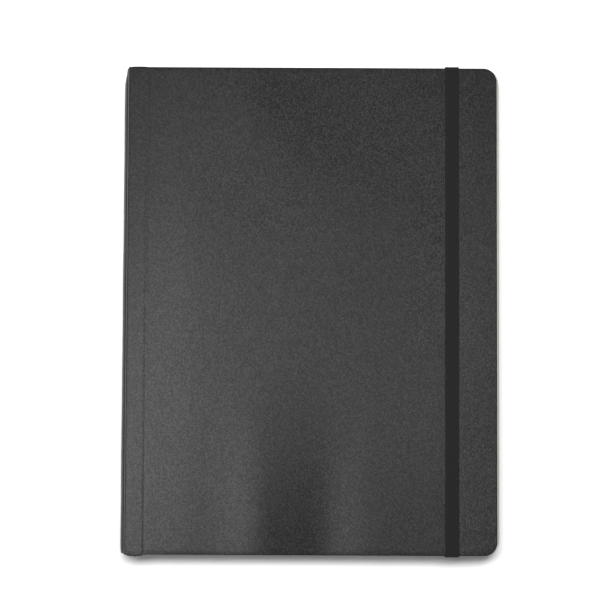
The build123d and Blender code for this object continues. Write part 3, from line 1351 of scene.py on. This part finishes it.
class NestedSheets(GeometryTree):
    """Sheets folded once and laid one inside the other, with round fore-edge corners."""

    FOLD_SHARE = 0.3
    RUN_SHARE = 0.6

    def __init__(self) -> None:
        """Write the tree."""
        super().__init__("nested_sheets", {
            "Sheets": 4, "Pitch": 0.2 * MM, "Fold X": 0.0, "Fold Z": 0.0, "Fore X": 0.19,
            "Half Height": 0.125, "Corner": PAGE_CORNER, "Unevenness": 0.1 * MM, "Seed": 1,
        })
        given = self.given_value
        line = self.node("GeometryNodeMeshLine", {}, {"Count": given("Sheets")})
        sheets = self.node(
            "GeometryNodeInstanceOnPoints", {}, {"Points": line, "Instance": given("Geometry")}
        )
        index = self.node("GeometryNodeInputIndex")
        numbered = self.node(
            "GeometryNodeStoreNamedAttribute", {"data_type": "FLOAT", "domain": "INSTANCE"},
            {"Geometry": sheets, "Name": "sheet", "Value": index},
        )
        real = self.node("GeometryNodeRealizeInstances", {}, {0: numbered})
        number = {"data_type": "FLOAT"}
        sheet = self.node("GeometryNodeInputNamedAttribute", number, {"Name": "sheet"})
        p, v, _ = self.split(self.node("GeometryNodeInputPosition"))
        side, reach = p.sign(), abs(p)
        radius = (sheet + 0.5) * given("Pitch")
        bend = reach.clamped(0.0, self.FOLD_SHARE, 0.0, math.pi / 2)
        run = reach.clamped(self.FOLD_SHARE, self.RUN_SHARE)
        turn = reach.clamped(self.RUN_SHARE, 1.0, 0.0, math.pi / 2)
        corner_x = given("Fore X") - given("Corner")
        shake = self.node(
            "FunctionNodeRandomValue", number,
            {"Min": -1.0, "Max": 0.0, "ID": sheet * 2.0 + side, "Seed": given("Seed")},
            output="Value",
        )
        x = given("Fold X") - radius * bend.cosine() + run * (corner_x - given("Fold X"))
        x = x + given("Corner") * turn.sine() + run * shake * given("Unevenness")
        half = given("Half Height") - given("Corner") * (1.0 - turn.cosine())
        z = given("Fold Z") + side * radius * bend.sine()
        place = self.node("ShaderNodeCombineXYZ", {}, {0: x, 1: v * half, 2: z})
        self.finish(self.node("GeometryNodeSetPosition", {}, {"Geometry": real, "Position": place}))

    @classmethod
    def flat_strip(cls, name: str) -> bpy.types.Object:
        """The strip that each sheet is bent from: X runs from -1 to 1, and Y too.

        Args:
            name: the piece's name.

        Returns:
            The new object.
        """
        half = stations(0.0, (cls.FOLD_SHARE, 7), (cls.RUN_SHARE, 4), (1.0, 9))
        across = np.concatenate([-half[::-1], half[1:]])
        along = np.linspace(-1.0, 1.0, 9)
        grid = np.stack(np.meshgrid(across, along, indexing="ij"), axis=-1)
        points = np.concatenate([grid, np.zeros((*grid.shape[:2], 1))], axis=-1).reshape(-1, 3)
        quads = quads_of(np.arange(len(points)).reshape(grid.shape[:2]))
        mesh = bpy.data.meshes.new(name)
        mesh.from_pydata(points.tolist(), [], quads)
        return link_new(name, mesh)


@dataclass
class PageBlock:
    """Six sewn sections of four folded sheets."""

    book: Book
    sheets: int = 4
    leaf_share: float = 0.76
    shear_reach: float = 0.78
    unevenness: float = 0.12 * MM
    corner: float = PAGE_CORNER

    def middle_of(self, number: int) -> float:
        """Height of the middle of one section."""
        low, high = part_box(f"signature_{number}")
        return (low[2] + high[2]) / 2

    def build(self) -> list[bpy.types.Object]:
        """Make all six sections.

        Returns:
            The new objects.
        """
        tree = NestedSheets()
        return [self._section(tree, number) for number in range(1, 7)]

    def _section(self, tree: NestedSheets, number: int) -> bpy.types.Object:
        """One section, from the front cover down.

        Args:
            tree: the nested sheets.
            number: 1 beside the front cover to 6 beside the back cover.

        Returns:
            The new object.
        """
        node = f"signature_{number}"
        low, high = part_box(node)
        thick = high[2] - low[2]
        pitch = thick / (2 * self.sheets)
        obj = NestedSheets.flat_strip(f"{node}_leaves")
        tree.put_on(obj, {
            "Sheets": self.sheets,
            "Pitch": pitch,
            "Fold X": low[0] + thick / 2,
            "Fold Z": (low[2] + high[2]) / 2,
            "Fore X": high[0],
            "Half Height": high[1],
            "Corner": self.corner,
            "Unevenness": self.unevenness,
            "Seed": number,
        }, Finishes.PAGES)
        thicken(obj, pitch * self.leaf_share, Finishes.PAGES)
        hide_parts(node)
        fixed, fixed_number, moved, moved_number = (
            ("upper_half", 1, "section_3", 3) if number <= 3 else ("back_half", 6, "section_4", 4)
        )
        fixed_z = self.middle_of(fixed_number)
        reach = (self.middle_of(moved_number) - fixed_z) * self.shear_reach
        start, end = (0.0, 0.0, fixed_z), (0.0, 0.0, fixed_z + reach)
        for part, finish in (("spine_lining", Finishes.LINING), ("sewing_thread", Finishes.THREAD)):
            follower = self._follower(f"{part}_{number}", finish)
            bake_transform(follower)
        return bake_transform(obj)

    @staticmethod
    def _follower(node: str, finish: Finishes) -> bpy.types.Object:
        """A lining or thread with the frame's own shape.

        Args:
            node: name of the piece in the frame.
            finish: its finish.

        Returns:
            The new object.
        """
        source = frame["nodes"][node]
        mesh = source.data.copy()
        mesh.transform(source.matrix_world)
        mesh.materials.clear()
        obj = dress(link_new(f"{node}_sewn", mesh), finish)
        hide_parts(node)
        return obj


@dataclass
class Endpapers:
    """The folded sheets that join the page block to the covers."""

    book: Book
    columns: int = 25
    paper: float = 0.2 * MM
    air: float = 0.02 * MM
    fold_x: float = 1.25 * MM
    start_x: float = 2.2 * MM
    glued_short: float = 7.6 * MM

    def build(self) -> list[bpy.types.Object]:
        """Make the front pastedown, the front flyleaf and the back endpaper.

        Returns:
            The new objects.
        """
        return [self._front_pasted(), self._front_flyleaf(), self._back()]

    @staticmethod
    def _rows(x: Places, z: Places, half: Places) -> np.ndarray:
        """Rows of x, z and half height, from arrays or single numbers."""
        return np.stack(np.broadcast_arrays(x, z, half), axis=-1)

    def _leaf(self, name: str, rows: np.ndarray) -> bpy.types.Object:
        """A sheet swept along the book from rows of places and half heights.

        Args:
            name: the piece's name.
            rows: x, z and half height, in order along the sheet.

        Returns:
            The new object, with its wall.
        """
        share = np.linspace(-1.0, 1.0, self.columns)
        x, z, half = (np.repeat(track[:, None], self.columns, axis=1) for track in rows.T)
        points = np.stack([x, half * share, z], axis=-1).reshape(-1, 3)
        quads = quads_of(np.arange(len(points)).reshape(len(rows), self.columns))
        obj = make_object(name, points, quads, Finishes.ENDPAPER)
        return thicken(obj, self.paper * 0.95, Finishes.ENDPAPER)

    def _leaf_rows(self, z: float, end_x: float, half: float) -> np.ndarray:
        """Rows of a flat leaf from the fold outwards, with round outer corners.

        Args:
            z: height of its middle.
            end_x: its fore edge.
            half: its half height.

        Returns:
            The rows.
        """
        centre = end_x - PAGE_CORNER
        straight = np.linspace(self.book.spine_x + self.start_x, centre, 9)[:-1]
        angles = np.linspace(0.0, math.pi / 2, 10)
        drawn = PAGE_CORNER * (1.0 - np.cos(angles))
        corner = self._rows(centre + PAGE_CORNER * np.sin(angles), z, half - drawn)
        return np.concatenate([self._rows(straight, z, half), corner])

    def _fold_rows(self, z_first: float, z_last: float, half: float) -> np.ndarray:
        """Rows round the fold beside the spine, from one height to the other.

        Args:
            z_first: height where the rows start.
            z_last: height where they end.
            half: half height of the sheet there.

        Returns:
            The rows.
        """
        rise = (z_last - z_first) / 2
        centre = self.book.spine_x + self.fold_x + abs(rise)
        angles = np.linspace(-math.pi / 2, math.pi / 2, 9)
        z = (z_first + z_last) / 2 + rise * np.sin(angles)
        return self._rows(centre - abs(rise) * np.cos(angles), z, half)

    def _front_pasted(self) -> bpy.types.Object:
        """The pasted side, over the hinge strip and the front cover, with close rows at the groove.

        Returns:
            The new object.
        """
        book = self.book
        z = book.thickness - book.cover + self.paper / 2
        half = book.half_height - book.turn_in
        start, reach = book.spine_x + 1.9 * MM, 2.0 * MM
        bend = (book.crease_x - reach, 3), (book.crease_x + reach, 16)
        xs = stations(start, *bend, (book.fore_x - book.turn_in, 7))
        obj = self._leaf("front_pastedown_sheet", self._rows(xs, z, half))
        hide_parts("front_pastedown")
        start, end = (book.crease_x - reach, 0.0, z), (book.crease_x + reach, 0.0, z)
        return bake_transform(obj)

    def _front_flyleaf(self) -> bpy.types.Object:
        """The free side, folded at the spine.

        Returns:
            The new object.
        """
        book = self.book
        pasted = book.thickness - book.cover + self.paper / 2
        free = book.thickness - book.cover - self.air - self.paper / 2
        half = book.page_half_height
        obj = self._leaf("front_flyleaf_sheet", np.concatenate([
            self._rows(np.array([book.spine_x + 2.1 * MM]), pasted, half - 8 * MM),
            self._fold_rows(pasted, free, half - self.glued_short),
            self._leaf_rows(free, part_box("front_flyleaf")[1][0], half),
        ]))
        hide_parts("front_flyleaf")
        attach(obj, "upper_half")
        return obj

    def _back(self) -> bpy.types.Object:
        """The back endpaper: pasted side, fold and free leaf in one sheet.

        Returns:
            The new object.
        """
        book = self.book
        pasted = book.cover - self.paper / 2
        free = book.cover + self.air + self.paper / 2
        half = book.page_half_height
        xs = np.linspace(book.back_fore_x - book.turn_in, book.spine_x + self.start_x, 9)
        obj = self._leaf("back_endpaper_sheet", np.concatenate([
            self._rows(xs, pasted, book.half_height - book.turn_in),
            self._fold_rows(pasted, free, half - self.glued_short),
            self._leaf_rows(free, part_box("back_endpaper")[1][0], half),
        ]))
        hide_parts("back_endpaper")
        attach(obj, "back_half")
        return obj


# ---------------------------------------------------------------- elastic
class RibbedWebbing(GeometryTree):
    """A flat band with rubber ribs along it, swept along the object's own path."""

    def __init__(self) -> None:
        """Write the tree."""
        super().__init__("ribbed_webbing", {
            "Width": 7 * MM, "Thickness": 0.6 * MM, "Ribs": 9, "Rib Height": 0.1 * MM,
            "Samples": 150,
        })
        given = self.given_value
        path = self.node("GeometryNodeMeshToCurve", {}, {"Mesh": given("Geometry")})
        across = {"Curve": path, "Normal": (1.0, 0.0, 0.0)}
        path = self.node("GeometryNodeSetCurveNormal", {"mode": "FREE"}, across)
        outline = self.node(
            "GeometryNodeCurvePrimitiveQuadrilateral", {"mode": "RECTANGLE"},
            {"Width": given("Width"), "Height": given("Thickness")},
        )
        fine = {"Curve": outline, "Count": given("Samples")}
        outline = self.node("GeometryNodeResampleCurve", {}, fine)
        x, y, _ = self.split(self.node("GeometryNodeInputPosition"))
        phase = (x / given("Width") + 0.5) * given("Ribs") * math.pi
        valley = 1.0 - abs(phase.sine()) ** 0.6
        edge = (abs(x) / given("Width")).clamped(0.44, 0.5)
        offset = y.sign() * given("Rib Height") * (valley + edge) * -1.0
        shift = self.node("ShaderNodeCombineXYZ", {}, {0: 0.0, 1: offset, 2: 0.0})
        ribbed = self.node("GeometryNodeSetPosition", {}, {"Geometry": outline, "Offset": shift})
        swept = {"Curve": path, "Profile Curve": ribbed, "Fill Caps": True}
        self.finish(self.node("GeometryNodeCurveToMesh", {}, swept))


@dataclass
class Elastic:
    """The elastic band, from its slot at the head over the front to its slot at the tail."""

    book: Book
    thickness: float = 0.62 * MM
    ribs: int = 9
    rib_height: float = 0.1 * MM
    samples: int = 150
    bend: float = 0.75 * MM
    end_z: float = 1.0 * MM
    step: float = 3.0 * MM

    def path(self) -> np.ndarray:
        """Middle line of the band, from the head's slot round the book to the tail's.

        Returns:
            Its points.
        """
        band_low, band_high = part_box("elastic_band")
        end_low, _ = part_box("elastic_end_head")
        half_thick = self.thickness / 2
        x = (band_low[0] + band_high[0]) / 2
        low_z, high_z = half_thick, band_high[2] - half_thick
        out_y, in_y = band_high[1] - half_thick, end_low[1] + half_thick
        corners = [(in_y, self.end_z), (in_y, low_z), (out_y, low_z), (out_y, high_z)]
        corners += [(-y, z) for y, z in corners[::-1]]
        line = self._rounded(corners)
        return np.stack([np.full(len(line), x), line[:, 0], line[:, 1]], axis=1)

    def _rounded(self, corners: list[tuple[float, float]]) -> np.ndarray:
        """A line through corners with each one rounded and long runs divided.

        Args:
            corners: y and z of each corner, in order.

        Returns:
            Its y and z points.
        """
        made = [np.array(corners[0])]
        for before, here, after in zip(corners, corners[1:], corners[2:]):
            before, here, after = (np.array(p) for p in (before, here, after))
            back, on = np.linalg.norm(before - here), np.linalg.norm(after - here)
            size = min(self.bend, 0.45 * back, 0.45 * on)
            first = here + (before - here) / back * size
            last = here + (after - here) / on * size
            for t in np.linspace(0.0, 1.0, 7):
                made.append((1 - t) ** 2 * first + 2 * t * (1 - t) * here + t**2 * last)
        made.append(np.array(corners[-1]))
        dense = [made[0]]
        for point in made[1:]:
            count = max(1, int(np.linalg.norm(point - dense[-1]) / self.step))
            start = dense[-1]
            dense.extend(start + (point - start) * k / count for k in range(1, count + 1))
        return np.array(dense)

    def build(self) -> bpy.types.Object:
        """Make the band.

        Returns:
            The new object.
        """
        line = self.path()
        band_low, band_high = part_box("elastic_band")
        mesh = bpy.data.meshes.new("elastic_strap")
        edges = [(i, i + 1) for i in range(len(line) - 1)]
        mesh.from_pydata(line.tolist(), edges, [])
        obj = link_new("elastic_strap", mesh)
        RibbedWebbing().put_on(obj, {
            "Width": band_high[0] - band_low[0],
            "Thickness": self.thickness,
            "Ribs": self.ribs,
            "Rib Height": self.rib_height,
            "Samples": self.samples,
        }, Finishes.WEBBING)
        bake_modifiers(obj)
        dress(obj, Finishes.WEBBING)
        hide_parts("elastic_band", "elastic_end_head", "elastic_end_tail")
        end = (line[0][0], 0.0, self.book.thickness - 0.6 * MM)
        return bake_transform(obj)


# ---------------------------------------------------------------- pieces kept from the frame
@dataclass
class Carried:
    """Cards whose shape comes straight from the frame and that only get a finish."""

    cards: tuple[str, ...] = ("front_board", "front_hinge_card", "back_hinge_card", "back_board")

    def dress_all(self) -> int:
        """Dress the cards.

        Returns:
            How many pieces were dressed.
        """
        for name in self.cards:
            dress(frame["nodes"][name], Finishes.CARD)
        return len(self.cards)


# ---------------------------------------------------------------- set and light
@dataclass(frozen=True)
class SoftBox:
    """A rectangular soft light that points at the book."""

    name: str
    place: tuple[float, float, float]
    size: tuple[float, float]
    power: float
    shows_in_gloss: bool = True
    lights_matt: bool = True

    def hang(self) -> bpy.types.Object:
        """Make the light.

        Returns:
            The light.
        """
        data = bpy.data.lights.new(self.name, "AREA")
        data.shape = "RECTANGLE"
        data.size, data.size_y = self.size
        data.energy = self.power
        light = link_new(self.name, data)
        light.location = self.place
        light.rotation_euler = (-Vector(self.place)).to_track_quat("-Z", "Y").to_euler()
        light.visible_glossy = self.shows_in_gloss
        light.visible_diffuse = self.lights_matt
        return light


@dataclass
class Studio:
    """White sweep, two soft lights, and a camera above the book.

    The key light from beyond the head gives the even light and the shadow, and the strip on
    the left gives only the sheen of the leatherette.
    """

    lens: float = 105.3
    distance: float = 0.898
    tilt: float = 3.3
    roll: float = 0.27
    surroundings: float = 0.27
    floor_size: float = 3.0
    lights: tuple[SoftBox, ...] = (
        SoftBox("key_light", (-0.1, 0.45, 1.35), (1.5, 0.56), 34.0, shows_in_gloss=False),
        SoftBox("left_strip", (-0.6, -0.1, 1.24), (0.26, 1.6), 10.5, lights_matt=False),
    )
    target: tuple[float, float, float] = (-5.9 * MM, 4.9 * MM, 13.6 * MM)

    def build(self) -> None:
        """Make the floor, the lights and the camera."""
        self._floor()
        self._world()
        for light in self.lights:
            light.hang()
        self._camera()

    def _floor(self) -> None:
        """The sweep, just under the book."""
        size, z = self.floor_size, -0.05 * MM
        mesh = bpy.data.meshes.new("floor")
        corners = [(-size, -size, z), (size, -size, z), (size, size, z), (-size, size, z)]
        mesh.from_pydata(corners, [], [(0, 1, 2, 3)])
        floor = link_new("floor", mesh)
        floor.data.materials.append(Finishes.SWEEP.value.material())

    def _world(self) -> None:
        """Even white surroundings."""
        world = bpy.data.worlds.new("studio")
        world.use_nodes = True
        world.node_tree.nodes.clear()
        tree = Tree(world.node_tree)
        white = {"Color": (1.0, 1.0, 1.0, 1.0), "Strength": self.surroundings}
        glow = tree.node("ShaderNodeBackground", {}, white)
        tree.node("ShaderNodeOutputWorld", {}, {"Surface": glow})
        bpy.context.scene.world = world
        bpy.context.scene.view_settings.view_transform = "Standard"

    def _camera(self) -> None:
        """A long lens almost straight above the book, a little towards its tail."""
        data = bpy.data.cameras.new("camera")
        data.lens = self.lens
        data.sensor_width = 36.0
        data.clip_start, data.clip_end = 0.01, 20.0
        camera = link_new("camera", data)
        tilt = math.radians(self.tilt)
        target = Vector(self.target)
        back = Vector((0.0, -math.sin(tilt), math.cos(tilt)))
        place = Matrix.Translation(target + back * self.distance)
        turn = Matrix.Rotation(tilt, 4, "X") @ Matrix.Rotation(math.radians(self.roll), 4, "Z")
        camera.matrix_world = place @ turn
        bpy.context.scene.camera = camera


def main() -> None:
    """Build the book piece by piece, then its set."""
    logging.basicConfig(level=logging.INFO, format="%(name)s: %(message)s")
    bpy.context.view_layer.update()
    book = Book.from_frame()
    band_low, band_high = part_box("elastic_band")
    leather = CaseLeather(book, elastic_x=(band_low[0] + band_high[0]) / 2)
    pieces = leather.build()
    pieces += PageBlock(book).build()
    pieces += Endpapers(book).build()
    pieces.append(Elastic(book).build())
    for piece in pieces:
        LOG.info("%s: %d faces", piece.name, len(piece.data.polygons))
    LOG.info("dressed %d pieces of the frame", Carried().dress_all())
    Studio().build()


if __name__ == "__main__":
    main()
